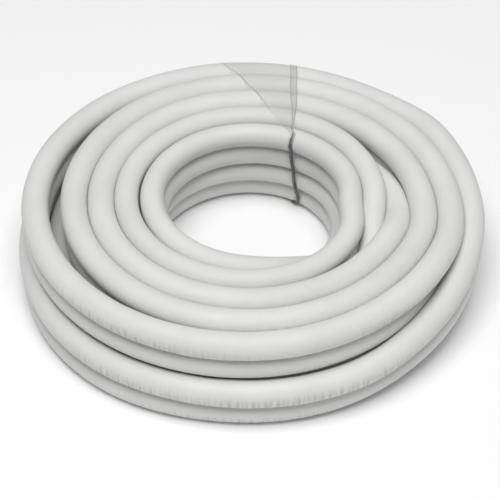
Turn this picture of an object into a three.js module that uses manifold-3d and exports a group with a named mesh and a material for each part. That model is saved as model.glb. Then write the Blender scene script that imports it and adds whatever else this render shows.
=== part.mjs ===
// A coil of paired refrigerant lines for a mini split: a thin liquid line and a thicker suction
// line, each a copper tube in a white foam jacket, wound side by side into a flat coil of two
// pair layers and held by one band of clear stretch film. Millimetres, +Z up, with the origin at
// the middle of the coil's underside. +Y points to the side that carries the film.
//
// The coil is one turned solid with its bore, and every turn shows on it as a round rib. The
// lower layer is wound wider, so its outermost turn stands out in front of the upper layer. The two
// lines start and end in a pocket in that turn, where their bare copper ends stand out of the foam
// and are closed by push-on caps.

import * as THREE from 'three';
import { mergeVertices } from 'three/addons/utils/BufferGeometryUtils.js';
import Module from 'manifold-3d';

const wasm = await Module();
wasm.setup();

// Lines
const LIQUID_TUBE_DIAMETER = 6.35;
const SUCTION_TUBE_DIAMETER = 9.525;
const COPPER_WALL = 0.8;
const FOAM_WALL = 9.525;

// Coil: the upper layer lies round the bore, and the lower layer starts a step further out
const BORE_DIAMETER = 184;
const TURNS_ACROSS = 5;
const LOWER_LAYER_STEP = 10.8;
const LOWER_TURN_PITCH = 29.3;
const UPPER_TURN_PITCH = 28.6;

// Pocket where both lines start and end, as angles from +X towards +Y
const POCKET_FROM = THREE.MathUtils.degToRad(50);
const POCKET_TO = THREE.MathUtils.degToRad(75);

// Bare copper ends and their caps
const COPPER_SEAT_DEPTH = 20;
const COPPER_STUB_LENGTH = 32;
const CAP_LENGTH = 14;
const CAP_WALL = 1.5;

// Film band: its place and its width where it crosses the bore's wall and the outer wall
const FILM_INNER_ANGLE = THREE.MathUtils.degToRad(64);
const FILM_OUTER_ANGLE = THREE.MathUtils.degToRad(90);
const FILM_INNER_WIDTH = 14;
const FILM_OUTER_WIDTH = 100;
const FILM_THICKNESS = 0.6;
const FILM_SINK = 0.3;

const CLEARANCE = 0.3;
const CUT_OVERRUN = 8;
const WELD_DISTANCE = 1e-4;

// Fineness of the facets
const FOAM_SIDES = 12;
const VALLEY_ANGLE = THREE.MathUtils.degToRad(10);
const COIL_STEPS = 48;
const TUBE_SIDES = 20;

const liquidRadius = LIQUID_TUBE_DIAMETER / 2 + FOAM_WALL;
const suctionRadius = SUCTION_TUBE_DIAMETER / 2 + FOAM_WALL;
const pairHeight = 2 * (liquidRadius + suctionRadius);
const boreRadius = BORE_DIAMETER / 2;
const lastColumn = TURNS_ACROSS - 1;

// The two layers of the pair, from the floor up: the radius of the innermost turn and the pitch.
const layers = [
  {
    innermost: boreRadius + suctionRadius + LOWER_LAYER_STEP,
    pitch: LOWER_TURN_PITCH,
  },
  {
    innermost: boreRadius + suctionRadius,
    pitch: UPPER_TURN_PITCH,
  },
];
const coilRadius = layers[0].innermost + lastColumn * LOWER_TURN_PITCH + suctionRadius;
const coilHeight = layers.length * pairHeight;

const foam = new THREE.MeshStandardMaterial({ color: 0xe4e4e2, roughness: 0.75, metalness: 0 });
const copper = new THREE.MeshStandardMaterial({ color: 0xb8734a, roughness: 0.35, metalness: 1 });
const capPlastic = new THREE.MeshStandardMaterial({ color: 0xd8d8d2, roughness: 0.5, metalness: 0 });
const film = new THREE.MeshStandardMaterial({
  color: 0xdcdcd4,
  roughness: 0.2,
  metalness: 0,
  transparent: true,
  opacity: 0.45,
});

// The levels of tubes from the floor up: in each pair the liquid line lies under the suction line.
const levels = [];
for (let layer = 0; layer < layers.length; layer++) {
  const base = layer * pairHeight;
  levels.push({ layer, radius: liquidRadius, height: base + liquidRadius });
  levels.push({ layer, radius: suctionRadius, height: base + 2 * liquidRadius + suctionRadius });
}
const topLevel = levels.length - 1;

// The middle of one tube's section, as (radius, height).
function tubeMiddle(column, level) {
  const { layer, height } = levels[level];
  const { innermost, pitch } = layers[layer];
  return new THREE.Vector2(innermost + column * pitch, height);
}

// Corners of one tube's section, a polygon whose flats touch the tube's true circle, between two
// directions. A flat faces the floor, so that the coil rests on flat lands.
function sectionCorners(column, level, inset = 0, from = 0, to = 2 * Math.PI) {
  const side = (2 * Math.PI) / FOAM_SIDES;
  const cornerRadius = (levels[level].radius - inset) / Math.cos(side / 2);
  const middle = tubeMiddle(column, level);
  const corners = [];
  for (let direction = side / 2; direction < to; direction += side) {
    if (direction <= from) continue;
    corners.push(new THREE.Vector2(
      middle.x + cornerRadius * Math.cos(direction),
      middle.y + cornerRadius * Math.sin(direction),
    ));
  }
  return corners;
}

// The tubes at the edge of the wound section, counterclockwise from the lowest one at the bore.
function edgeTubes() {
  const tubes = [];
  for (let column = 0; column < lastColumn; column++) tubes.push([column, 0]);
  for (let level = 0; level < topLevel; level++) tubes.push([lastColumn, level]);
  for (let column = lastColumn; column > 0; column--) tubes.push([column, topLevel]);
  for (let level = topLevel; level > 0; level--) tubes.push([0, level]);
  return tubes;
}

function directionTo(tube, other) {
  const run = tubeMiddle(...other).sub(tubeMiddle(...tube));
  return Math.atan2(run.y, run.x);
}

// Outline of the wound section, counterclockwise: each tube at the edge shows the arc that faces
// outwards, from its neighbour before to its neighbour after, and the arcs meet in the valleys.
function woundOutline() {
  const tubes = edgeTubes();
  return tubes.flatMap((tube, i) => {
    const before = directionTo(tube, tubes.at(i - 1));
    const after = directionTo(tube, tubes[(i + 1) % tubes.length]);
    const from = THREE.MathUtils.euclideanModulo(before, 2 * Math.PI);
    const arc = THREE.MathUtils.euclideanModulo(after - before, 2 * Math.PI);
    return sectionCorners(...tube, 0, from + VALLEY_ANGLE, from + arc - VALLEY_ANGLE);
  });
}

// The shortest closed path round some tubes of the section, as a tight film takes it.
function hullOutline(tubes, inset = 0) {
  const corners = tubes.flatMap((tube) => sectionCorners(...tube, inset));
  corners.sort((a, b) => a.x - b.x || a.y - b.y);
  const turn = (a, b, c) => (b.x - a.x) * (c.y - a.y) - (b.y - a.y) * (c.x - a.x);
  const chain = (points) => {
    const kept = [];
    for (const point of points) {
      while (kept.length > 1 && turn(kept.at(-2), kept.at(-1), point) <= 1e-6) kept.pop();
      kept.push(point);
    }
    return kept.slice(0, -1);
  };
  return [...chain(corners), ...chain(corners.reverse())];
}

// Turns a closed outline, drawn as (radius, height), about the Z axis.
function turned(outline, steps) {
  const profile = [...outline, outline[0]];
  return new THREE.LatheGeometry(profile, steps).rotateX(Math.PI / 2);
}

function toManifold(geometry) {
  const bare = geometry.clone();
  bare.deleteAttribute('normal');
  bare.deleteAttribute('uv');
  const merged = mergeVertices(bare, WELD_DISTANCE);
  const triVerts = new Uint32Array(merged.index.array);
  const solid = new wasm.Manifold(new wasm.Mesh({
    numProp: 3,
    vertProperties: new Float32Array(merged.attributes.position.array),
    triVerts,
  }));
  if (solid.volume() > 0) return solid;
  for (let i = 0; i < triVerts.length; i += 3) {
    [triVerts[i + 1], triVerts[i + 2]] = [triVerts[i + 2], triVerts[i + 1]];
  }
  return new wasm.Manifold(new wasm.Mesh({
    numProp: 3,
    vertProperties: new Float32Array(merged.attributes.position.array),
    triVerts,
  }));
}

function toGeometry(solid) {
  const mesh = solid.getMesh();
  const geometry = new THREE.BufferGeometry();
  geometry.setAttribute('position', new THREE.BufferAttribute(mesh.vertProperties, 3));
  geometry.setIndex(new THREE.BufferAttribute(mesh.triVerts, 1));
  geometry.computeVertexNormals();
  return geometry;
}

// The space that a flat outline on the floor sweeps when it rises from below the coil to a height.
function standing(shape, top) {
  const geometry = new THREE.ExtrudeGeometry(shape, {
    depth: top + CUT_OVERRUN,
    bevelEnabled: false,
    curveSegments: COIL_STEPS / 4,
  });
  return toManifold(geometry.translate(0, 0, -CUT_OVERRUN));
}

function polar(radius, angle) {
  return new THREE.Vector2(radius * Math.cos(angle), radius * Math.sin(angle));
}

// The wedge, narrow at the bore and wide at the outer wall, that the film band fills.
function filmWedge(margin) {
  const inner = polar(boreRadius, FILM_INNER_ANGLE);
  const outer = polar(coilRadius, FILM_OUTER_ANGLE);
  const run = outer.clone().sub(inner);
  const along = run.clone().normalize();
  const across = new THREE.Vector2(-along.y, along.x);
  const widening = (FILM_OUTER_WIDTH - FILM_INNER_WIDTH) / run.length();
  const corner = (origin, beyond, side) => {
    const width = (origin === inner ? FILM_INNER_WIDTH : FILM_OUTER_WIDTH) + beyond * widening;
    const sideways = side * (width / 2 + margin);
    return origin.clone()
      .addScaledVector(along, beyond)
      .addScaledVector(across, sideways);
  };
  const shape = new THREE.Shape([
    corner(inner, -CUT_OVERRUN, -1),
    corner(outer, CUT_OVERRUN, -1),
    corner(outer, CUT_OVERRUN, 1),
    corner(inner, -CUT_OVERRUN, 1),
  ]);
  return standing(shape, coilHeight + CUT_OVERRUN);
}

// The film is pressed into the crests of the turns, so the foam is nipped in along its path.
const filmOuterInset = FILM_SINK;
const filmInnerInset = filmOuterInset + FILM_THICKNESS;
const foamInset = filmInnerInset + CLEARANCE;

// A ring that fills the hull of some tubes of the section.
function hullRing(tubes, inset) {
  return toManifold(turned(hullOutline(tubes, inset), COIL_STEPS));
}

function filmBand() {
  const shell = hullRing(edgeTubes(), filmOuterInset).subtract(hullRing(edgeTubes(), filmInnerInset));
  return shell.intersect(filmWedge(0));
}

function filmPath() {
  return filmWedge(CLEARANCE).subtract(hullRing(edgeTubes(), foamInset));
}

// The pocket takes the place of the lower pair in the outermost turn. Its inner wall runs over
// the turn inside it and up to the line above.
function pocket() {
  const neighbour = lastColumn - 1;
  const sector = new THREE.Shape();
  sector.absarc(0, 0, tubeMiddle(neighbour, 0).x, POCKET_FROM, POCKET_TO, false);
  sector.absarc(0, 0, coilRadius + CUT_OVERRUN, POCKET_TO, POCKET_FROM, true);
  const walls = [[neighbour, 0], [neighbour, 1], [neighbour, 2], [lastColumn, 2]];
  return standing(sector, levels[2].height).subtract(hullRing(walls));
}

// Each line's two ends: where the foam is cut off, and which way the copper stands out of it.
const lineEnds = [];
for (const [line, tubeDiameter, level] of [
  ['liquid', LIQUID_TUBE_DIAMETER, 0],
  ['suction', SUCTION_TUBE_DIAMETER, 1],
]) {
  for (const [end, angle, heading] of [
    ['start', POCKET_FROM, POCKET_FROM + Math.PI / 2],
    ['finish', POCKET_TO, POCKET_TO - Math.PI / 2],
  ]) {
    const place = polar(tubeMiddle(lastColumn, level).x, angle);
    lineEnds.push({
      name: `${line}_${end}`,
      tubeRadius: tubeDiameter / 2,
      position: new THREE.Vector3(place.x, place.y, levels[level].height),
      heading,
    });
  }
}

// Turns an outline, drawn as (distance along the line end, radius), about that end's own X axis.
function turnedAlongX(outline) {
  const profile = outline.map(([along, radius]) => new THREE.Vector2(radius, along));
  profile.push(profile[0]);
  return new THREE.LatheGeometry(profile, TUBE_SIDES).rotateZ(-Math.PI / 2);
}

function copperEnd(tubeRadius) {
  return turnedAlongX([
    [-COPPER_SEAT_DEPTH, tubeRadius - COPPER_WALL],
    [-COPPER_SEAT_DEPTH, tubeRadius],
    [COPPER_STUB_LENGTH, tubeRadius],
    [COPPER_STUB_LENGTH, tubeRadius - COPPER_WALL],
  ]);
}

function endCap(tubeRadius) {
  const mouth = COPPER_STUB_LENGTH + CLEARANCE + CAP_WALL - CAP_LENGTH;
  const floor = COPPER_STUB_LENGTH + CLEARANCE;
  const innerRadius = tubeRadius + CLEARANCE;
  const outerRadius = innerRadius + CAP_WALL;
  return turnedAlongX([
    [floor, 0],
    [floor, innerRadius],
    [mouth, innerRadius],
    [mouth, outerRadius],
    [floor + CAP_WALL, outerRadius],
    [floor + CAP_WALL, 0],
  ]);
}

// The hole in the cut face of the foam that a copper end seats in.
function copperSeat({ tubeRadius, position, heading }) {
  const depth = COPPER_SEAT_DEPTH + CLEARANCE;
  const drill = new THREE.CylinderGeometry(
    tubeRadius + CLEARANCE,
    tubeRadius + CLEARANCE,
    depth + CUT_OVERRUN,
    TUBE_SIDES,
  );
  drill.rotateZ(-Math.PI / 2).translate((CUT_OVERRUN - depth) / 2, 0, 0);
  drill.rotateZ(heading).translate(position.x, position.y, position.z);
  return toManifold(drill);
}

function coilSolid() {
  const cuts = [filmPath(), pocket(), ...lineEnds.map(copperSeat)];
  const whole = toManifold(turned(woundOutline(), COIL_STEPS));
  return cuts.reduce((solid, cut) => solid.subtract(cut), whole);
}

function named(name, geometry, material) {
  const mesh = new THREE.Mesh(geometry, material);
  mesh.name = name;
  return mesh;
}

const lineSet = new THREE.Group();
lineSet.add(named('coil_of_paired_lines', toGeometry(coilSolid()), foam));
lineSet.add(named('film_band', toGeometry(filmBand()), film));

for (const { name, tubeRadius, position, heading } of lineEnds) {
  const end = new THREE.Group();
  end.position.copy(position);
  end.rotation.z = heading;
  end.add(named(`${name}_copper_end`, copperEnd(tubeRadius), copper));
  end.add(named(`${name}_cap`, endCap(tubeRadius), capPlastic));
  lineSet.add(end);
}

export default lineSet;
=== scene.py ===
import math

import bpy
import numpy as np
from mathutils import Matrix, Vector


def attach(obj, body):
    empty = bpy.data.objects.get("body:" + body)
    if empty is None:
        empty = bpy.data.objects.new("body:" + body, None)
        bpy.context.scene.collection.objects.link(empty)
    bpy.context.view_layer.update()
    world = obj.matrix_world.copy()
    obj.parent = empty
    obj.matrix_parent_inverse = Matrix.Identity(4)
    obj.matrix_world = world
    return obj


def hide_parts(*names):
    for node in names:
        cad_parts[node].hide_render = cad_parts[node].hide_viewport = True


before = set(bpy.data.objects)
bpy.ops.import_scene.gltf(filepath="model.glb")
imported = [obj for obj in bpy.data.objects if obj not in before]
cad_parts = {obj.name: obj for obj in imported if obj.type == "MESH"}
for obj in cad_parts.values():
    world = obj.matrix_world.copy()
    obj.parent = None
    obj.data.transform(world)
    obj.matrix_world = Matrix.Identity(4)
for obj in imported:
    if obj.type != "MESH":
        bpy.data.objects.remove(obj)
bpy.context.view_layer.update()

# Metres throughout, in the part's own frame: +Z up, the coil's axis on Z, the floor at zero.
# Lengths written in millimetres are named values times MM.
MM = 0.001

# Camera: a long lens that looks down on the coil from the front
CAMERA_DISTANCE = 2.0
CAMERA_ELEVATION = math.radians(43.0)
CAMERA_TILT = math.radians(43.8)
CAMERA_LEFT = 2.15 * MM
CAMERA_LENS = 133.9

# The two lines, each a copper tube in a foam jacket
LIQUID_TUBE_RADIUS = 3.175 * MM
SUCTION_TUBE_RADIUS = 4.7625 * MM
FOAM_WALL = 9.525 * MM
LIQUID_RADIUS = LIQUID_TUBE_RADIUS + FOAM_WALL
SUCTION_RADIUS = SUCTION_TUBE_RADIUS + FOAM_WALL
PAIR_HEIGHT = 2 * (LIQUID_RADIUS + SUCTION_RADIUS)
COIL_HEIGHT = 2 * PAIR_HEIGHT

# Where both lines start and finish, as angles from +X towards +Y in degrees
START_ANGLE = 50.0
FINISH_ANGLE = 75.0

# Foam jackets: rings of points along each line, and a tube mouth in each cut end
RING_SPACING = 4.0 * MM
RING_SIDES = 32
EDGE_ROUNDING = 1.0 * MM
TUBE_MOUTH_DEPTH = 4.0 * MM
DENT_LENGTHS = (310 * MM, 170 * MM, 83 * MM, 47 * MM)
DENT_DEPTH = 0.035 * MM
FOAM_COLOR = (0.71, 0.71, 0.702)
CREASE_MIDDLE = 58 * MM

# Bare copper ends and the caps on them
COPPER_WALL = 0.8 * MM
COPPER_SEAT_DEPTH = 20.0 * MM
COPPER_STUB_LENGTH = 32.0 * MM
COPPER_RIM_LENGTH = 1.2 * MM
COPPER_RIM_DRAWN_IN = 0.35 * MM
COPPER_HOLLOW_DEPTH = 10.0 * MM
CAP_LENGTH = 14.0 * MM
CAP_WALL = 1.5 * MM
CAP_LIP = 2.5 * MM
CAP_PLAIN_END = 2.0 * MM
CAP_RIB_DEPTH = 0.3 * MM
CLEARANCE = 0.3 * MM
TUBE_SIDES = 32
CAP_SIDES = 48

# Stretch film. Its two edges are angles on the floor, in degrees, at distances from the axis.
FILM_EDGE_RADII = [70, 97, 104, 128, 174, 215, 256]
FILM_LEFT_EDGE = [62.9, 64.4, 71.0, 81.6, 92.2, 98.5, 102.5]
FILM_RIGHT_EDGE = [60.4, 60.7, 65.0, 68.0, 73.2, 76.2, 78.4]
FILM_NEIGHBOURS = (48, 112)
FILM_SAMPLES = (80, 252, 0.75)
FILM_LIFT = 0.3 * MM
FILM_LEAN = 5.5
FILM_LINES = 61
FILM_STEPS = 420
FILM_SPREAD = 90 * MM
HEM_WIDTH = 1.7 * MM
FOLD_WIDTH = 8.0 * MM
FOLD_LINE_WIDTH = 1.0 * MM
FOLD_STRIPS = 7

# The film's rope in the bore
ROPE_STRANDS = 3
ROPE_SIDES = 8
ROPE_TWIST = 21 * MM
ROPE_STEP = 0.8 * MM
ROPE_OFF_WALL = 1.2 * MM
ROPE_STRAND_RADIUS = 1.05 * MM
ROPE_STRAND_OFFSET = 0.95 * MM
ROPE_SIDE = math.radians(61)


def deselect_all():
    for piece in bpy.context.selected_objects:
        piece.select_set(False)


def add_mesh(name, points, faces, smooth=True):
    mesh = bpy.data.meshes.new(name)
    mesh.from_pydata([tuple(p) for p in points], [], faces)
    mesh.validate()
    mesh.update()
    if smooth:
        mesh.shade_smooth()
    piece = bpy.data.objects.new(name, mesh)
    bpy.context.scene.collection.objects.link(piece)
    return piece


# Camera

def place_camera():
    data = bpy.data.cameras.new("camera")
    data.lens = CAMERA_LENS
    data.sensor_width = 36
    data.clip_end = 20
    camera = bpy.data.objects.new("camera", data)
    camera.location = (
        -CAMERA_LEFT,
        -CAMERA_DISTANCE * math.cos(CAMERA_ELEVATION),
        COIL_HEIGHT / 2 + CAMERA_DISTANCE * math.sin(CAMERA_ELEVATION),
    )
    camera.rotation_euler = (math.pi / 2 - CAMERA_TILT, 0, 0)
    bpy.context.scene.collection.objects.link(camera)
    bpy.context.scene.camera = camera


place_camera()

# The winding. The pair is wound clockwise as seen from above. The lower layer runs from the
# start at the back inwards, climbs at the bore, and the upper layer runs outwards again. Its last
# turn drops down outside the lower layer and finishes beside the start. The pair rolls over once
# in each layer. The wound angle counts degrees from the start, and a place on the route is named
# by its turn and its angle on the floor.
LOW = PAIR_HEIGHT / 2 / MM
HIGH = COIL_HEIGHT / MM - LOW
END_RADIUS = 234.2875
ROUTE_STEP = 3.0
SLICES = round(360 / ROUTE_STEP)


def wound(turn, angle):
    return 360 * turn + START_ANGLE - angle


# Wound angle, radius and height of the pair's middle in millimetres, and its roll in degrees:
# at 0 the suction line lies on top of the liquid line, at 90 it lies outside it, at 180 under it.
ROUTE = [
    (wound(0, START_ANGLE), END_RADIUS, LOW, 0),
    (wound(0, 45), END_RADIUS, LOW, 0),
    (wound(0, 35), 231, LOW, 0),
    (wound(0, 5), 210, LOW, 0),
    (wound(0, -30), 207, LOW, 0),
    (wound(0, -90), 205, LOW, 0),
    (wound(0, -180), 206, LOW, 0),
    (wound(1, 90), 203, LOW, 0),
    (wound(1, 0), 180, LOW, 0),
    (wound(1, -90), 176, LOW, 0),
    (wound(1, -180), 176, LOW, 0),
    (wound(2, 90), 173, LOW, 0),
    (wound(2, 0), 151, LOW, 0),
    (wound(2, -90), 147, LOW, 0),
    (wound(2, -180), 147, LOW, 0),
    (wound(3, 90), 145, LOW, 0),
    (wound(3, 0), 123, LOW, 0),
    (wound(3, -45), 119, LOW, 0),
    (wound(3, -90), 107, LOW - 10, 90),
    (wound(3, -135), 113, LOW, 165),
    (wound(3, -180), 114.5, LOW, 165),
    (wound(4, 90), 110.5, LOW, 158),
    (wound(4, 45), 109.5, LOW, 165),
    (wound(4, 0), 104.5, LOW + 3, 172),
    (wound(4, -35), 101, LOW + 10, 170),
    (wound(4, -60), 100, HIGH - 25, 170),
    (wound(4, -90), 105, HIGH - 5, 176),
    (wound(4, -130), 106, HIGH - 1, 180),
    (wound(4, -180), 106, HIGH, 180),
    (wound(5, 90), 105, HIGH, 158),
    (wound(5, 0), 106.5, HIGH, 180),
    (wound(5, -35), 119, HIGH, 180),
    (wound(5, -60), 126.5, HIGH, 180),
    (wound(5, -90), 130, HIGH, 180),
    (wound(5, -180), 133.5, HIGH, 180),
    (wound(6, 90), 129, HIGH, 180),
    (wound(6, 60), 130, HIGH, 180),
    (wound(6, 25), 137, HIGH + 3, 155),
    (wound(6, 0), 143.5, HIGH + 7.6, 117),
    (wound(6, -20), 146, HIGH + 5, 65),
    (wound(6, -40), 151, HIGH + 1, 25),
    (wound(6, -70), 156, HIGH, 0),
    (wound(6, -90), 157, HIGH, 0),
    (wound(6, -180), 160.5, HIGH, 0),
    (wound(7, 90), 158, HIGH, 0),
    (wound(7, 0), 177, HIGH, 0),
    (wound(7, -90), 187, HIGH, 0),
    (wound(7, -180), 188.5, HIGH, 0),
    (wound(8, 90), 187, HIGH, 0),
    (wound(8, 0), 206, HIGH, 0),
    (wound(8, -90), 215.5, HIGH - 2, 0),
    (wound(8, -180), 230, HIGH, 0),
    (wound(9, 110), 213, HIGH - 4, 0),
    (wound(9, 90), 209, HIGH - 10, 0),
    (wound(9, 65), 211, HIGH - 8, 0),
    (wound(9, 45), 214.5, HIGH - 8, 0),
    (wound(9, 20), 225, HIGH - 11, 0),
    (wound(9, 0), 232, HIGH - 13, 0),
    (wound(9, -40), 230, HIGH - 38, 0),
    (wound(9, -65), 228, LOW + 2, 0),
    (wound(9, -90), 227, LOW, 0),
    (wound(9, -135), 239, LOW, 0),
    (wound(9, -180), 236, LOW, 0),
    (wound(10, 88), END_RADIUS, LOW, 0),
    (wound(10, FINISH_ANGLE), END_RADIUS, LOW, 0),
]


def smooth_between(places, values, at):
    """Values at the places in at, on a curve through the given ones that never overshoots."""
    places = np.asarray(places, float)
    values = np.asarray(values, float)
    steps = np.diff(places)
    slopes = np.diff(values) / steps
    tangents = np.zeros(len(places))
    tangents[0], tangents[-1] = slopes[0], slopes[-1]
    for i in range(1, len(places) - 1):
        before, after = slopes[i - 1], slopes[i]
        if before * after > 0:
            near, far = steps[i - 1], steps[i]
            tangents[i] = 3 * (near + far) / ((2 * far + near) / before + (far + 2 * near) / after)
    k = np.clip(np.searchsorted(places, at) - 1, 0, len(steps) - 1)
    t = (at - places[k]) / steps[k]
    return (
        values[k] * (1 + 2 * t) * (1 - t) ** 2
        + tangents[k] * steps[k] * t * (1 - t) ** 2
        + values[k + 1] * t * t * (3 - 2 * t)
        + tangents[k + 1] * steps[k] * t * t * (t - 1)
    )


SUCTION, LIQUID = 0, 1
LINE_RADII = np.array([SUCTION_RADIUS, LIQUID_RADIUS])


def wish_route():
    """Radius and height of both lines at every step of the wound angle, before they make room."""
    knots = np.array(ROUTE, float)
    angles = np.arange(0, knots[-1, 0] + 0.5 * ROUTE_STEP, ROUTE_STEP)
    middle = np.stack([smooth_between(knots[:, 0], knots[:, k], angles) for k in (1, 2)], 1) * MM
    roll = np.radians(smooth_between(knots[:, 0], knots[:, 3], angles))
    towards_suction = np.stack([np.sin(roll), np.cos(roll)], 1)
    suction = middle + towards_suction * LIQUID_RADIUS
    liquid = middle - towards_suction * SUCTION_RADIUS
    return angles, np.stack([suction, liquid])


def make_room(wish, rounds=300, hold=0.03, evening=0.2):
    """Pushes the turns apart, a slice of the coil at a time.

    In each slice the turns are circles. Circles that overlap part, both lines of the pair stay
    together, every line stays even along its length, and all of them keep near their wish. Where
    the pair climbs, it crosses its slices at a slant, and there the soft jackets still press into
    each other by up to about 3 mm.
    """
    place = wish.copy()
    count = wish.shape[1]
    turns = math.ceil(count / SLICES)
    padded = turns * SLICES
    real = np.tile((np.arange(padded) < count).reshape(turns, SLICES), (2, 1))
    radii = np.repeat(LINE_RADII, turns)
    one, other = np.triu_indices(2 * turns, 1)
    reach = (radii[one] + radii[other])[:, None]
    both_real = real[one] & real[other]
    pair_reach = LINE_RADII.sum()
    ends = [*range(4), *range(count - 4, count)]
    for round_number in range(rounds):
        late = round_number > rounds - 40
        grid = np.zeros((2, padded, 2))
        grid[:, :count] = place
        grid = grid.reshape(2 * turns, SLICES, 2)
        apart = grid[other] - grid[one]
        distance = np.linalg.norm(apart, axis=2) + 1e-9
        overlap = np.clip(reach - distance, 0, None) * both_real
        push = apart / distance[..., None] * overlap[..., None] * 0.4
        moved = np.zeros_like(grid)
        np.add.at(moved, one, -push)
        np.add.at(moved, other, push)
        place += moved.reshape(2, padded, 2)[:, :count]
        across = place[SUCTION] - place[LIQUID]
        span = np.linalg.norm(across, axis=1)
        correction = ((span - pair_reach) / span * 0.3)[:, None] * across
        place[SUCTION] -= correction
        place[LIQUID] += correction
        bend = np.zeros_like(place)
        bend[:, 1:-1] = place[:, :-2] + place[:, 2:] - 2 * place[:, 1:-1]
        place += bend * evening * (0.5 if late else 1)
        place += (wish - place) * hold * (0.3 if late else 1)
        place[:, ends] = wish[:, ends]
        floor = LINE_RADII[:, None]
        place[..., 1] = np.clip(place[..., 1], floor, COIL_HEIGHT - floor)
    return place


def centreline(angles, places, spacing):
    """Points along one line, about a spacing apart, on a curve through its places."""
    fine = np.arange(angles[0], angles[-1] + 0.25, 0.5)
    radius = np.interp(fine, angles, places[:, 0])
    height = np.interp(fine, angles, places[:, 1])
    kernel = np.hanning(15)
    kernel /= kernel.sum()
    pad = len(kernel) // 2
    radius = np.convolve(np.pad(radius, pad, mode="reflect", reflect_type="odd"), kernel, "valid")
    height = np.convolve(np.pad(height, pad, mode="reflect", reflect_type="odd"), kernel, "valid")
    turned = np.radians(START_ANGLE - fine)
    points = np.stack([radius * np.cos(turned), radius * np.sin(turned), height], 1)
    run = np.concatenate([[0], np.cumsum(np.linalg.norm(np.diff(points, axis=0), axis=1))])
    at = np.linspace(0, run[-1], round(run[-1] / spacing) + 1)
    return np.stack([np.interp(at, run, points[:, k]) for k in range(3)], 1)


def frames_along(points):
    """Tangent, inward side and upward side of a line that lies in turns."""
    tangent = np.gradient(points, axis=0)
    tangent /= np.linalg.norm(tangent, axis=1)[:, None]
    inward = np.cross(tangent, (0, 0, 1))
    inward /= np.linalg.norm(inward, axis=1)[:, None]
    return tangent, inward, np.cross(inward, tangent)


def soft_dents(run, around, seed):
    """Slow, shallow unevenness of a foam skin, in metres."""
    waves = np.zeros((len(run), len(around)))
    draw = np.random.default_rng(seed)
    for wave_length in DENT_LENGTHS:
        for turns_around in (1, 2, 3):
            phase, drift = draw.uniform(0, 2 * math.pi, 2)
            along = 2 * math.pi * run / wave_length + phase
            waves += np.sin(along[:, None] + turns_around * around[None, :] + drift) / turns_around
    return waves * DENT_DEPTH


def sweep_line(name, points, radius, bore, seed):
    """A foam jacket along a centreline, closed at both ends round its tube's mouth."""
    tangent, inward, upward = frames_along(points)
    around = np.linspace(0, 2 * math.pi, RING_SIDES, endpoint=False)
    ring = inward[:, None] * np.cos(around)[:, None] + upward[:, None] * np.sin(around)[:, None]
    run = np.arange(len(points)) * RING_SPACING
    reach = radius + soft_dents(run, around, seed)
    body = points[:, None] + ring * reach[..., None]
    body[..., 2] = np.clip(body[..., 2], 0, COIL_HEIGHT)

    def end_rings(k, direction):
        steps = [
            (TUBE_MOUTH_DEPTH, bore),
            (0.5 * EDGE_ROUNDING, bore),
            (0, bore + 0.5 * EDGE_ROUNDING),
            (0, radius - EDGE_ROUNDING),
            (0.3 * EDGE_ROUNDING, radius - 0.3 * EDGE_ROUNDING),
        ]
        rings = []
        for depth, ring_radius in steps:
            rings.append(points[k] + direction * depth * tangent[k] + ring[k] * ring_radius)
        return rings

    body[0] += tangent[0] * EDGE_ROUNDING
    body[-1] -= tangent[-1] * EDGE_ROUNDING
    first_end = end_rings(0, 1)
    last_end = end_rings(-1, -1)[::-1]
    rows = [*first_end, *body, *last_end]
    vertices = np.concatenate(rows)
    faces = []
    for row in range(len(rows) - 1):
        for k in range(RING_SIDES):
            a = row * RING_SIDES + k
            b = row * RING_SIDES + (k + 1) % RING_SIDES
            faces.append((a, a + RING_SIDES, b + RING_SIDES, b))
    last = (len(rows) - 1) * RING_SIDES
    faces.append(tuple(range(RING_SIDES)))
    faces.append(tuple(last + k for k in reversed(range(RING_SIDES))))
    piece = add_mesh(name, vertices, faces)
    row_run = np.concatenate([np.full(len(first_end), run[0]), run, np.full(len(last_end), run[-1])])
    lay_skin_map(piece, row_run, radius)
    return piece


def lay_skin_map(piece, row_run, radius):
    """A map of the skin in metres: the way round the line, then the way along it."""
    mesh = piece.data
    corner = np.empty(len(mesh.loops), int)
    mesh.loops.foreach_get("vertex_index", corner)
    row, side = np.divmod(corner, RING_SIDES)
    starts = np.empty(len(mesh.polygons), int)
    mesh.polygons.foreach_get("loop_start", starts)
    sides_of_face = np.diff(np.append(starts, len(corner)))
    face = np.repeat(np.arange(len(starts)), sides_of_face)
    closes = np.zeros(len(starts), bool)
    np.logical_or.at(closes, face, side == RING_SIDES - 1)
    closes &= sides_of_face == 4
    way_round = np.where(closes[face] & (side == 0), RING_SIDES, side) / RING_SIDES
    uv = np.stack([way_round * 2 * math.pi * radius, row_run[row]], 1)
    mesh.uv_layers.new(name="skin").data.foreach_set("uv", uv.ravel())


angles, wish = wish_route()
lay = make_room(wish)
suction_path = centreline(angles, lay[SUCTION], RING_SPACING)
liquid_path = centreline(angles, lay[LIQUID], RING_SPACING)
suction_line = sweep_line("suction_line", suction_path, SUCTION_RADIUS, SUCTION_TUBE_RADIUS, 3)
liquid_line = sweep_line("liquid_line", liquid_path, LIQUID_RADIUS, LIQUID_TUBE_RADIUS, 8)
for line in (suction_line, liquid_line):
    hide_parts("coil_of_paired_lines")
    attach(line, "root")


# Bare copper ends and caps. Each is modelled standing along +Z with the foam's cut face at zero,
# and then laid along its line's heading.

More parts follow.
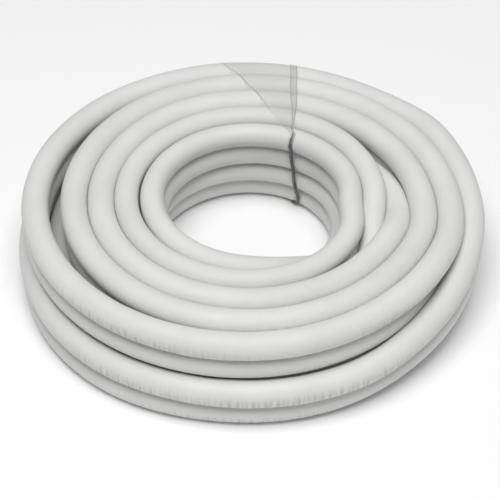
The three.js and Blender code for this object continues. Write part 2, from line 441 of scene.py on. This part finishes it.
def pick_faces(piece, test):
    """Selects the faces that pass a test of their middle and normal, in edit mode."""
    bpy.ops.object.mode_set(mode="OBJECT")
    mesh = piece.data
    for corner in mesh.vertices:
        corner.select = False
    for edge in mesh.edges:
        edge.select = False
    for face in mesh.polygons:
        face.select = bool(test(face.center, face.normal))
    bpy.ops.object.mode_set(mode="EDIT")
    bpy.ops.mesh.select_mode(type="FACE")


def new_cylinder(name, sides, radius, low, high):
    deselect_all()
    bpy.ops.mesh.primitive_cylinder_add(
        vertices=sides, radius=radius, depth=high - low, location=(0, 0, (low + high) / 2)
    )
    piece = bpy.context.active_object
    piece.name = name
    piece.data.name = name
    bpy.ops.object.transform_apply(location=True, rotation=True, scale=True)
    return piece


def place_on_line(piece, place, heading):
    piece.rotation_euler = (0, math.pi / 2, heading)
    piece.location = place
    bpy.ops.object.transform_apply(location=True, rotation=True, scale=True)


def round_edges(piece, width, sharper_than):
    bevel = piece.modifiers.new("rounding", "BEVEL")
    bevel.width = width
    bevel.segments = 2
    bevel.limit_method = "ANGLE"
    bevel.angle_limit = math.radians(sharper_than)
    bpy.ops.object.modifier_apply(modifier=bevel.name)


def copper_end(name, radius):
    """A bare tube end: its mouth is hollow, and its rim is drawn in a little by the cutter."""
    piece = new_cylinder(name, TUBE_SIDES, radius, -COPPER_SEAT_DEPTH, COPPER_STUB_LENGTH)
    pick_faces(piece, lambda middle, normal: normal.z > 0.9)
    bpy.ops.mesh.extrude_region_move(TRANSFORM_OT_translate={"value": (0, 0, 0)})
    bpy.ops.transform.translate(value=(0, 0, -COPPER_RIM_LENGTH))
    bpy.ops.mesh.extrude_region_move(TRANSFORM_OT_translate={"value": (0, 0, COPPER_RIM_LENGTH)})
    drawn_in = 1 - COPPER_RIM_DRAWN_IN / radius
    bpy.ops.transform.resize(value=(drawn_in, drawn_in, 1))
    bpy.ops.mesh.inset(thickness=COPPER_WALL)
    bpy.ops.mesh.extrude_region_move(TRANSFORM_OT_translate={"value": (0, 0, -COPPER_HOLLOW_DEPTH)})
    bpy.ops.mesh.select_all(action="SELECT")
    bpy.ops.mesh.remove_doubles(threshold=1e-6)
    bpy.ops.mesh.normals_make_consistent(inside=False)
    bpy.ops.object.mode_set(mode="OBJECT")
    round_edges(piece, 0.2 * MM, 35)
    return piece


def end_cap(name, radius):
    """A push-on cap with a rounded end, grip ribs round its side and a thick lip at its mouth."""
    inner = radius + CLEARANCE
    outer = inner + CAP_WALL
    high = COPPER_STUB_LENGTH + CLEARANCE + CAP_WALL
    low = high - CAP_LENGTH
    ribs_low = low + CAP_LIP
    ribs_high = high - CAP_PLAIN_END
    piece = new_cylinder(name, CAP_SIDES, outer, low, high)
    bpy.ops.object.mode_set(mode="EDIT")
    for height in (ribs_low, ribs_high):
        bpy.ops.mesh.select_all(action="SELECT")
        bpy.ops.mesh.bisect(plane_co=(0, 0, height), plane_no=(0, 0, 1))
    # every second side face between the lip and the end sinks in, which leaves the ribs
    side_turn = 2 * math.pi / CAP_SIDES

    def is_groove(middle, normal):
        between = ribs_low < middle.z < ribs_high
        side = math.floor(math.atan2(middle.y, middle.x) / side_turn)
        return between and abs(normal.z) < 0.5 and side % 2 == 0

    pick_faces(piece, is_groove)
    bpy.ops.mesh.extrude_faces_move(TRANSFORM_OT_shrink_fatten={"value": -CAP_RIB_DEPTH})
    pick_faces(piece, lambda middle, normal: normal.z < -0.9 and middle.z < low + MM)
    bpy.ops.mesh.inset(thickness=outer - inner)
    depth = COPPER_STUB_LENGTH + CLEARANCE - low
    bpy.ops.mesh.extrude_region_move(TRANSFORM_OT_translate={"value": (0, 0, depth)})
    bpy.ops.object.mode_set(mode="OBJECT")
    round_edges(piece, 0.4 * MM, 60)
    return piece


def line_ends():
    for line, tube_radius, height in (
        ("liquid", LIQUID_TUBE_RADIUS, LIQUID_RADIUS),
        ("suction", SUCTION_TUBE_RADIUS, 2 * LIQUID_RADIUS + SUCTION_RADIUS),
    ):
        for end, angle, turn in (("start", START_ANGLE, 90), ("finish", FINISH_ANGLE, -90)):
            place = (
                END_RADIUS * MM * math.cos(math.radians(angle)),
                END_RADIUS * MM * math.sin(math.radians(angle)),
                height,
            )
            yield f"{line}_{end}", tube_radius, place, math.radians(angle + turn)


copper_ends = []
end_caps = []
for end_name, tube_radius, place, heading in line_ends():
    for make, kind, pieces, slot in (
        (copper_end, "copper_end", copper_ends, "copper"),
        (end_cap, "cap", end_caps, "cap_plastic"),
    ):
        node = f"{end_name}_{kind}"
        piece = make(f"{node}_shown", tube_radius)
        place_on_line(piece, place, heading)
        bpy.ops.object.shade_smooth_by_angle(angle=math.radians(35))
        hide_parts(node)
        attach(piece, "root")
        pieces.append(piece)


# Stretch film. It fans out from the bore's wall over the top, down the outer wall and back
# underneath.

def film_angle(across, radius, height):
    """Angle on the floor of a place on the film: it leans over on its way down the bore's wall."""
    left = np.interp(radius / MM, FILM_EDGE_RADII, FILM_LEFT_EDGE)
    right = np.interp(radius / MM, FILM_EDGE_RADII, FILM_RIGHT_EDGE)
    near_bore = np.clip((125 * MM - radius) / (25 * MM), 0, 1)
    lean = FILM_LEAN * near_bore * (1 - height / COIL_HEIGHT)
    return np.radians(left + across * (right - left) - lean)


def fine_points(path, factor=4):
    places = np.arange(len(path))
    fine = np.arange(0, len(path) - 1 + 1e-9, 1 / factor)
    return np.stack([np.interp(fine, places, path[:, k]) for k in range(3)], 1)


def hull_of(points):
    """The shortest closed path round points on a plane, counterclockwise."""
    points = points[np.lexsort((points[:, 1], points[:, 0]))]

    def chain(ordered):
        kept = []
        for p in ordered:
            while len(kept) > 1:
                a, b = kept[-2], kept[-1]
                if (b[0] - a[0]) * (p[1] - a[1]) - (b[1] - a[1]) * (p[0] - a[0]) > 1e-12:
                    break
                kept.pop()
            kept.append(p)
        return kept[:-1]

    return np.array(chain(points) + chain(points[::-1]))


def film_loops():
    """The film's lines round the coil's section, each an even closed loop of places in space."""
    near_points = []
    near_radii = []
    for path, radius in ((suction_path, SUCTION_RADIUS), (liquid_path, LIQUID_RADIUS)):
        fine = fine_points(path)
        turned = np.degrees(np.arctan2(fine[:, 1], fine[:, 0]))
        near = fine[(turned > FILM_NEIGHBOURS[0]) & (turned < FILM_NEIGHBOURS[1])]
        near_points.append(near)
        near_radii.append(np.full(len(near), radius))
    centres = np.concatenate(near_points)
    radii = np.concatenate(near_radii)
    samples = np.arange(*FILM_SAMPLES) * MM
    loops = []
    for across in np.linspace(0, 1, FILM_LINES):
        turned = film_angle(across, samples, COIL_HEIGHT)
        plan = np.stack([samples * np.cos(turned), samples * np.sin(turned)], 1)
        away = ((plan[:, None] - centres[None, :, :2]) ** 2).sum(2)
        rise = radii[None] ** 2 - away
        covered = rise > 0
        rise = np.sqrt(np.where(covered, rise, 0))
        top = np.where(covered, centres[None, :, 2] + rise, -1).max(1)
        low = np.where(covered, centres[None, :, 2] - rise, 1).min(1)
        any_foam = covered.any(1)
        section = np.concatenate([
            np.stack([samples, top], 1)[any_foam],
            np.stack([samples, low], 1)[any_foam],
        ])
        loops.append(even_loop(hull_of(section)))
    return np.array(loops)


def even_loop(hull):
    """Even steps round a hull, from the top of the bore's wall over the coil and back."""
    start = int(np.argmin(hull[:, 0] - 0.5 * hull[:, 1]))
    closed = np.concatenate([hull[start:], hull[:start + 1]])[::-1]
    run = np.concatenate([[0], np.cumsum(np.linalg.norm(np.diff(closed, axis=0), axis=1))])
    at = np.linspace(0, run[-1], FILM_STEPS, endpoint=False)
    return np.stack([np.interp(at, run, closed[:, k]) for k in (0, 1)], 1)


def film_surface(loops, across, lift):
    """Places in space of film lines that cross the loops at given shares of the film's width.

    Both across and lift hold a value for each line and step. Lift is the way out from the foam.
    """
    line_count, step_count = across.shape
    spot = np.clip(across, 0, 1) * (FILM_LINES - 1)
    below = np.minimum(spot.astype(int), FILM_LINES - 2)
    share = (spot - below)[..., None]
    steps = np.tile(np.arange(step_count), (line_count, 1))
    flat = loops[below, steps] * (1 - share) + loops[below + 1, steps] * share
    ahead = np.roll(flat, -1, axis=1) - np.roll(flat, 1, axis=1)
    outward = np.stack([-ahead[..., 1], ahead[..., 0]], 2)
    outward /= np.linalg.norm(outward, axis=2)[..., None] + 1e-12
    flat = flat + outward * lift[..., None]
    radius = flat[..., 0]
    height = np.maximum(flat[..., 1], 0.1 * MM)
    turned = film_angle(across, radius, height)
    return np.stack([radius * np.cos(turned), radius * np.sin(turned), height], 2)


def film_mesh(name, grid, material):
    """A sheet through a grid of places, closed along its lines, with a map in metres."""
    line_count, step_count = grid.shape[:2]
    faces = []
    for line in range(line_count - 1):
        for step in range(step_count):
            after = (step + 1) % step_count
            a = line * step_count
            b = a + step_count
            faces.append((a + step, a + after, b + after, b + step))
    piece = add_mesh(name, grid.reshape(-1, 3), faces)
    loop_count = len(piece.data.loops)
    corner = np.empty(loop_count, int)
    piece.data.loops.foreach_get("vertex_index", corner)
    line, step = np.divmod(corner, step_count)
    closes = np.repeat(step.reshape(-1, 4).max(1) == step_count - 1, 4)
    step = np.where(closes & (step == 0), step_count, step)
    run = np.linalg.norm(np.diff(grid[0], axis=0), axis=1).mean()
    uv = np.stack([line / (line_count - 1) * FILM_SPREAD, step * run], 1)
    piece.data.uv_layers.new(name="sheet").data.foreach_set("uv", uv.ravel())
    piece.data.materials.append(material)
    return piece


def film_width(radii):
    left = np.interp(radii / MM, FILM_EDGE_RADII, FILM_LEFT_EDGE)
    right = np.interp(radii / MM, FILM_EDGE_RADII, FILM_RIGHT_EDGE)
    return np.radians(left - right) * radii


def pleats(across, radii):
    """Lift of the gathered film: shallow streaks on the coil, deep folds towards the bore."""
    gathered = np.clip((150 * MM - radii) / (55 * MM), 0, 1)
    step = np.arange(across.shape[1]) / across.shape[1]
    lift = np.zeros(across.shape)
    for folds, sway, share in ((5.5, 0.7, 0.5), (9.3, 1.9, 0.3), (17.0, 3.1, 0.2)):
        wander = 0.35 * np.sin(2 * math.pi * sway * 3 * step + folds)
        wave = np.sin(math.pi * (folds * across + wander[None]))
        lift += share * (1 - np.abs(wave)) ** 2
    return lift * (0.35 * MM + 1.1 * MM * gathered)


def make_film(sheet_material, fold_material, edge_material):
    loops = film_loops()
    whole = np.tile(np.linspace(0, 1, FILM_LINES)[:, None], (1, FILM_STEPS))
    sheet = film_surface(loops, whole, FILM_LIFT + pleats(whole, loops[..., 0]))
    pieces = [film_mesh("film_sheet", sheet, sheet_material)]
    middle_radii = loops[FILM_LINES // 2, :, 0]
    width = film_width(middle_radii)
    # both edges run out where the film gathers towards the bore
    off_bore = middle_radii - 95 * MM
    hem = HEM_WIDTH * np.clip((off_bore - 25 * MM) / (25 * MM), 0.05, 1) / width
    fold = np.minimum(FOLD_WIDTH * np.clip(off_bore / (60 * MM), 0.25, 1) / width, 0.5)
    fold_line = np.minimum(FOLD_LINE_WIDTH / width, 0.1)
    for name, start, stop, lift, material in (
        ("film_left_hem", 0 * hem, hem, 0.5 * MM, edge_material),
        ("film_right_fold", 1 - fold, 1 + 0 * fold, 0.6 * MM, fold_material),
        ("film_right_fold_edge", 1 - fold, 1 - fold + fold_line, 0.8 * MM, edge_material),
        ("film_right_edge", 1 - fold_line, 1 + 0 * fold, 0.8 * MM, edge_material),
    ):
        share = np.linspace(0, 1, FOLD_STRIPS)[:, None]
        across = start[None] * (1 - share) + stop[None] * share
        bulge = lift * (0.4 + 0.6 * np.sin(math.pi * share)) + 0 * across
        near_radii = np.tile(middle_radii, (FOLD_STRIPS, 1))
        grid = film_surface(loops, across, FILM_LIFT + bulge + pleats(across, near_radii))
        pieces.append(film_mesh(name, grid, material))
    return loops, pieces


def rope_path(loops):
    """The middle of the film where it lies gathered on the bore's wall, and its run in metres."""
    middle = loops[FILM_LINES // 2]
    turned_back = np.roll(middle, FILM_STEPS // 3, axis=0)
    r, z = turned_back[:, 0], turned_back[:, 1]
    on_wall = (r < 99 * MM + 0.12 * (COIL_HEIGHT - z)) & (z > 1.5 * MM)
    first = int(np.argmax(on_wall))
    last = len(on_wall) - int(np.argmax(on_wall[::-1]))
    wall = turned_back[first:last]
    ahead = np.gradient(wall, axis=0)
    outward = np.stack([-ahead[:, 1], ahead[:, 0]], 1)
    outward /= np.linalg.norm(outward, axis=1)[:, None]
    wall = wall + outward * ROPE_OFF_WALL
    turned = film_angle(np.full(len(wall), 0.5), wall[:, 0], wall[:, 1])
    path = np.stack([wall[:, 0] * np.cos(turned), wall[:, 0] * np.sin(turned), wall[:, 1]], 1)
    run = np.concatenate([[0], np.cumsum(np.linalg.norm(np.diff(path, axis=0), axis=1))])
    at = np.arange(0, run[-1], ROPE_STEP)
    return np.stack([np.interp(at, run, path[:, k]) for k in range(3)], 1), at


def make_rope(loops, material):
    """The gathered film, twisted to a thin rope of a few strands."""
    path, run = rope_path(loops)
    tangent = np.gradient(path, axis=0)
    tangent /= np.linalg.norm(tangent, axis=1)[:, None]
    sideways = np.cross(tangent, (math.cos(ROPE_SIDE), math.sin(ROPE_SIDE), 0))
    sideways /= np.linalg.norm(sideways, axis=1)[:, None]
    outward = np.cross(tangent, sideways)
    ends = np.minimum(1, np.minimum(run / (7 * MM), (run[-1] - run) / (16 * MM)))
    vertices = []
    faces = []
    around = np.linspace(0, 2 * math.pi, ROPE_SIDES, endpoint=False)
    for strand in range(ROPE_STRANDS):
        turn = 2 * math.pi * (run / ROPE_TWIST + strand / ROPE_STRANDS)
        turn += 0.5 * np.sin(run / (9 * MM) + 2 * strand)
        swing = sideways * np.cos(turn)[:, None] + outward * np.sin(turn)[:, None]
        middle = path + swing * (ROPE_STRAND_OFFSET * ends[:, None])
        swell = 0.28 * MM * np.sin(run / (5.3 * MM) + 1.7 * strand)
        thickness = (ROPE_STRAND_RADIUS + swell) * (0.25 + 0.75 * ends)
        first = strand * len(run) * ROPE_SIDES
        for k in range(len(run)):
            crumple = 1 + 0.22 * np.sin(3 * around + 0.9 * k + strand)
            ring = (sideways[k] * np.cos(around)[:, None] + outward[k] * np.sin(around)[:, None])
            vertices.extend(middle[k] + ring * (thickness[k] * crumple)[:, None])
        for k in range(len(run) - 1):
            for side in range(ROPE_SIDES):
                a = first + k * ROPE_SIDES + side
                b = first + k * ROPE_SIDES + (side + 1) % ROPE_SIDES
                faces.append((a, b, b + ROPE_SIDES, a + ROPE_SIDES))
        faces.append(tuple(first + side for side in reversed(range(ROPE_SIDES))))
        last = first + (len(run) - 1) * ROPE_SIDES
        faces.append(tuple(last + side for side in range(ROPE_SIDES)))
    piece = add_mesh("film_rope", vertices, faces)
    piece.data.materials.append(material)
    return piece


# Materials

def new_material(name, color, roughness):
    material = bpy.data.materials.new(name)
    material.use_nodes = True
    shader = material.node_tree.nodes["Principled BSDF"]
    shader.inputs["Base Color"].default_value = (*color, 1)
    shader.inputs["Roughness"].default_value = roughness
    return material, shader


class Pattern:
    """Adds texture nodes to a material, all read from one map or from the object's own space."""

    def __init__(self, material, shader, map_name=None):
        self.nodes = material.node_tree.nodes
        self.links = material.node_tree.links
        self.shader = shader
        if map_name:
            source = self.nodes.new("ShaderNodeUVMap")
            source.uv_map = map_name
            self.place = source.outputs["UV"]
        else:
            self.place = self.nodes.new("ShaderNodeTexCoord").outputs["Object"]
        self.normal = None

    def stretched(self, scale, turn=0.0):
        mapping = self.nodes.new("ShaderNodeMapping")
        mapping.inputs["Scale"].default_value = scale
        mapping.inputs["Rotation"].default_value = (0, 0, turn)
        self.links.new(self.place, mapping.inputs["Vector"])
        return mapping.outputs["Vector"]

    def across(self):
        """The map's first direction, in metres."""
        node = self.nodes.new("ShaderNodeSeparateXYZ")
        self.links.new(self.place, node.inputs["Vector"])
        return node.outputs["X"]

    def noise(self, scale, detail=2.0, roughness=0.5, turn=0.0):
        texture = self.nodes.new("ShaderNodeTexNoise")
        texture.inputs["Scale"].default_value = 1.0
        texture.inputs["Detail"].default_value = detail
        texture.inputs["Roughness"].default_value = roughness
        self.links.new(self.stretched(scale, turn), texture.inputs["Vector"])
        return texture.outputs["Fac"]

    def bands(self, period, turn):
        texture = self.nodes.new("ShaderNodeTexWave")
        texture.wave_type = "BANDS"
        texture.bands_direction = "X"
        texture.inputs["Scale"].default_value = 1.0
        texture.inputs["Distortion"].default_value = 0.4
        # the wave texture itself repeats every pi / 10
        wave = math.pi / 10 / period
        self.links.new(self.stretched((wave, wave, wave), turn), texture.inputs["Vector"])
        return texture.outputs["Fac"]

    def spread(self, value, low, high, to_low=0.0, to_high=1.0):
        node = self.nodes.new("ShaderNodeMapRange")
        node.inputs["From Min"].default_value = low
        node.inputs["From Max"].default_value = high
        node.inputs["To Min"].default_value = to_low
        node.inputs["To Max"].default_value = to_high
        self.links.new(value, node.inputs["Value"])
        return node.outputs["Result"]

    def combine(self, operation, one, other):
        node = self.nodes.new("ShaderNodeMath")
        node.operation = operation
        for socket, value in zip(node.inputs, (one, other)):
            if isinstance(value, (int, float)):
                socket.default_value = value
            else:
                self.links.new(value, socket)
        return node.outputs["Value"]

    def mix_colors(self, share, one, other):
        node = self.nodes.new("ShaderNodeMix")
        node.data_type = "RGBA"
        self.links.new(share, node.inputs["Factor"])
        for socket, value in ((node.inputs[6], one), (node.inputs[7], other)):
            if isinstance(value, tuple):
                socket.default_value = (*value, 1)
            else:
                self.links.new(value, socket)
        return node.outputs[2]

    def color(self, value):
        self.links.new(value, self.shader.inputs["Base Color"])

    def roughness(self, value):
        self.links.new(value, self.shader.inputs["Roughness"])

    def bump(self, height, depth):
        node = self.nodes.new("ShaderNodeBump")
        node.inputs["Strength"].default_value = 1.0
        node.inputs["Distance"].default_value = depth
        self.links.new(height, node.inputs["Height"])
        if self.normal:
            self.links.new(self.normal, node.inputs["Normal"])
        self.normal = node.outputs["Normal"]
        self.links.new(self.normal, self.shader.inputs["Normal"])


def foam_material():
    """White foam skin: fine emboss, drawn lines along it, short creases across it darkened with
    painted shade, soft marks.
    """
    material, shader = new_material("white_foam", FOAM_COLOR, 0.55)
    shader.inputs["Specular IOR Level"].default_value = 0.35
    shader.inputs["Subsurface Weight"].default_value = 0.25
    shader.inputs["Subsurface Radius"].default_value = (1, 1, 0.8)
    shader.inputs["Subsurface Scale"].default_value = 5 * MM
    pattern = Pattern(material, shader, "skin")
    marks = pattern.noise((14, 9, 1), 4, 0.6)
    dull = tuple(0.93 * c for c in FOAM_COLOR)
    clean = tuple(min(1, 1.03 * c) for c in FOAM_COLOR)
    skin = pattern.mix_colors(pattern.spread(marks, 0.35, 0.7), clean, dull)
    # the foam is squeezed into creases on its lower outer side, in patches; their bump is real, and
    # their colour is darkened with painted shade
    off_middle = pattern.combine("SUBTRACT", pattern.across(), CREASE_MIDDLE)
    off_middle = pattern.combine("ABSOLUTE", off_middle, 0)
    squeezed = pattern.spread(off_middle, 11 * MM, 21 * MM, 1, 0)
    patches = pattern.spread(pattern.noise((18, 5, 1), 1), 0.40, 0.58)
    squeezed = pattern.combine("MULTIPLY", squeezed, patches)
    grooves = pattern.spread(pattern.noise((22, 260, 1), 2, 0.5), 0.40, 0.56, 1, 0)
    grooves = pattern.combine("MULTIPLY", grooves, squeezed)
    # painted shade: the creases' colour is mixed towards a darker foam colour, as if shade lay in
    # them
    painted_crease_shade = pattern.combine("MULTIPLY", grooves, 0.55)
    pattern.color(pattern.mix_colors(painted_crease_shade, skin, tuple(0.55 * c for c in FOAM_COLOR)))
    pattern.roughness(pattern.spread(marks, 0.3, 0.7, 0.48, 0.64))
    pattern.bump(pattern.combine("SUBTRACT", 1, grooves), 0.5 * MM)
    pattern.bump(pattern.noise((30, 200, 1), 2, 0.45), 0.12 * MM)
    pattern.bump(pattern.noise((420, 7, 1), 2, 0.6), 0.14 * MM)
    lattice = pattern.combine("ADD", pattern.bands(1.7 * MM, 0.8), pattern.bands(1.7 * MM, -0.8))
    pattern.bump(lattice, 0.035 * MM)
    pattern.bump(pattern.noise((1500, 1500, 1), 2, 0.6), 0.04 * MM)
    return material


def film_material(name, color, alpha):
    """Clear film, greyish where it lies in folds, with fine lines along its pull."""
    material, shader = new_material(name, color, 0.16)
    shader.inputs["Alpha"].default_value = alpha
    shader.inputs["Specular IOR Level"].default_value = 0.6
    pattern = Pattern(material, shader, "sheet")
    pattern.bump(pattern.noise((260, 6, 1), 3, 0.6), 0.5 * MM)
    pattern.bump(pattern.noise((900, 30, 1), 2, 0.5), 0.15 * MM)
    return material


def rope_material():
    # Painted reflection and painted shade: the clear gathered film is given a dark olive-grey colour
    # for the dark reflections and shade it shows on the bore's wall, mottled darker and lighter
    # along its crumples.
    material, shader = new_material("gathered_film", (0.16, 0.16, 0.13), 0.25)
    pattern = Pattern(material, shader)
    shade = pattern.noise((260, 260, 90), 3, 0.6)
    pattern.color(pattern.mix_colors(shade, (0.05, 0.05, 0.038), (0.24, 0.24, 0.20)))
    pattern.bump(pattern.noise((700, 700, 240), 3, 0.6), 0.4 * MM)
    return material


def copper_material():
    """Drawn copper: bright, with a fine grain and a brown tarnish in soft clouds."""
    material, shader = new_material("copper_tube", (0.72, 0.38, 0.25), 0.28)
    shader.inputs["Metallic"].default_value = 1.0
    pattern = Pattern(material, shader)
    tarnish = pattern.spread(pattern.noise((90, 90, 90), 4, 0.65), 0.42, 0.68)
    pattern.color(pattern.mix_colors(tarnish, (0.78, 0.43, 0.29), (0.45, 0.22, 0.14)))
    pattern.roughness(pattern.spread(tarnish, 0, 1, 0.22, 0.42))
    pattern.bump(pattern.noise((1400, 1400, 1400), 2, 0.6), 0.03 * MM)
    return material


def cap_material():
    """Soft moulded plastic: off-white, with a fine grain and faint scuffs."""
    material, shader = new_material("cap_plastic", (0.80, 0.80, 0.75), 0.42)
    pattern = Pattern(material, shader)
    scuffs = pattern.spread(pattern.noise((240, 240, 240), 4, 0.7), 0.5, 0.75)
    pattern.color(pattern.mix_colors(scuffs, (0.82, 0.82, 0.77), (0.68, 0.68, 0.62)))
    pattern.roughness(pattern.spread(scuffs, 0, 1, 0.36, 0.55))
    pattern.bump(pattern.noise((2200, 2200, 2200), 2, 0.6), 0.03 * MM)
    return material


foam = foam_material()
for line in (suction_line, liquid_line):
    line.data.materials.append(foam)
copper = copper_material()
for piece in copper_ends:
    piece.data.materials.clear()
    piece.data.materials.append(copper)
cap_plastic = cap_material()
for piece in end_caps:
    piece.data.materials.clear()
    piece.data.materials.append(cap_plastic)

film_place, film_pieces = make_film(
    film_material("stretch_film", (0.48, 0.48, 0.46), 0.12),
    film_material("folded_film", (0.52, 0.52, 0.49), 0.16),
    film_material("film_edge", (0.36, 0.36, 0.32), 0.30),
)
film_pieces.append(make_rope(film_place, rope_material()))
for piece in film_pieces:
    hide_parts("film_band")
    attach(piece, "root")


# Floor and light

def lay_floor():
    deselect_all()
    bpy.ops.mesh.primitive_plane_add(size=12, location=(0, 0, 0))
    floor = bpy.context.active_object
    floor.name = "floor"
    material, shader = new_material("pale_floor", (0.96, 0.96, 0.96), 0.9)
    floor.data.materials.append(material)


def area_light(name, place, aim, size, power):
    data = bpy.data.lights.new(name, "AREA")
    data.shape = "SQUARE"
    data.size = size
    data.energy = power
    light = bpy.data.objects.new(name, data)
    light.location = place
    light.rotation_euler = (Vector(aim) - Vector(place)).to_track_quat("-Z", "Y").to_euler()
    bpy.context.scene.collection.objects.link(light)


def set_world():
    world = bpy.data.worlds.new("studio")
    world.use_nodes = True
    background = world.node_tree.nodes["Background"]
    background.inputs["Color"].default_value = (1, 1, 1, 1)
    background.inputs["Strength"].default_value = 0.31
    bpy.context.scene.world = world


lay_floor()
set_world()
area_light("overhead_softbox", (-0.12, -0.75, 3.1), (0, 0, 0), 2.0, 81)
bpy.context.scene.view_settings.view_transform = "Standard"
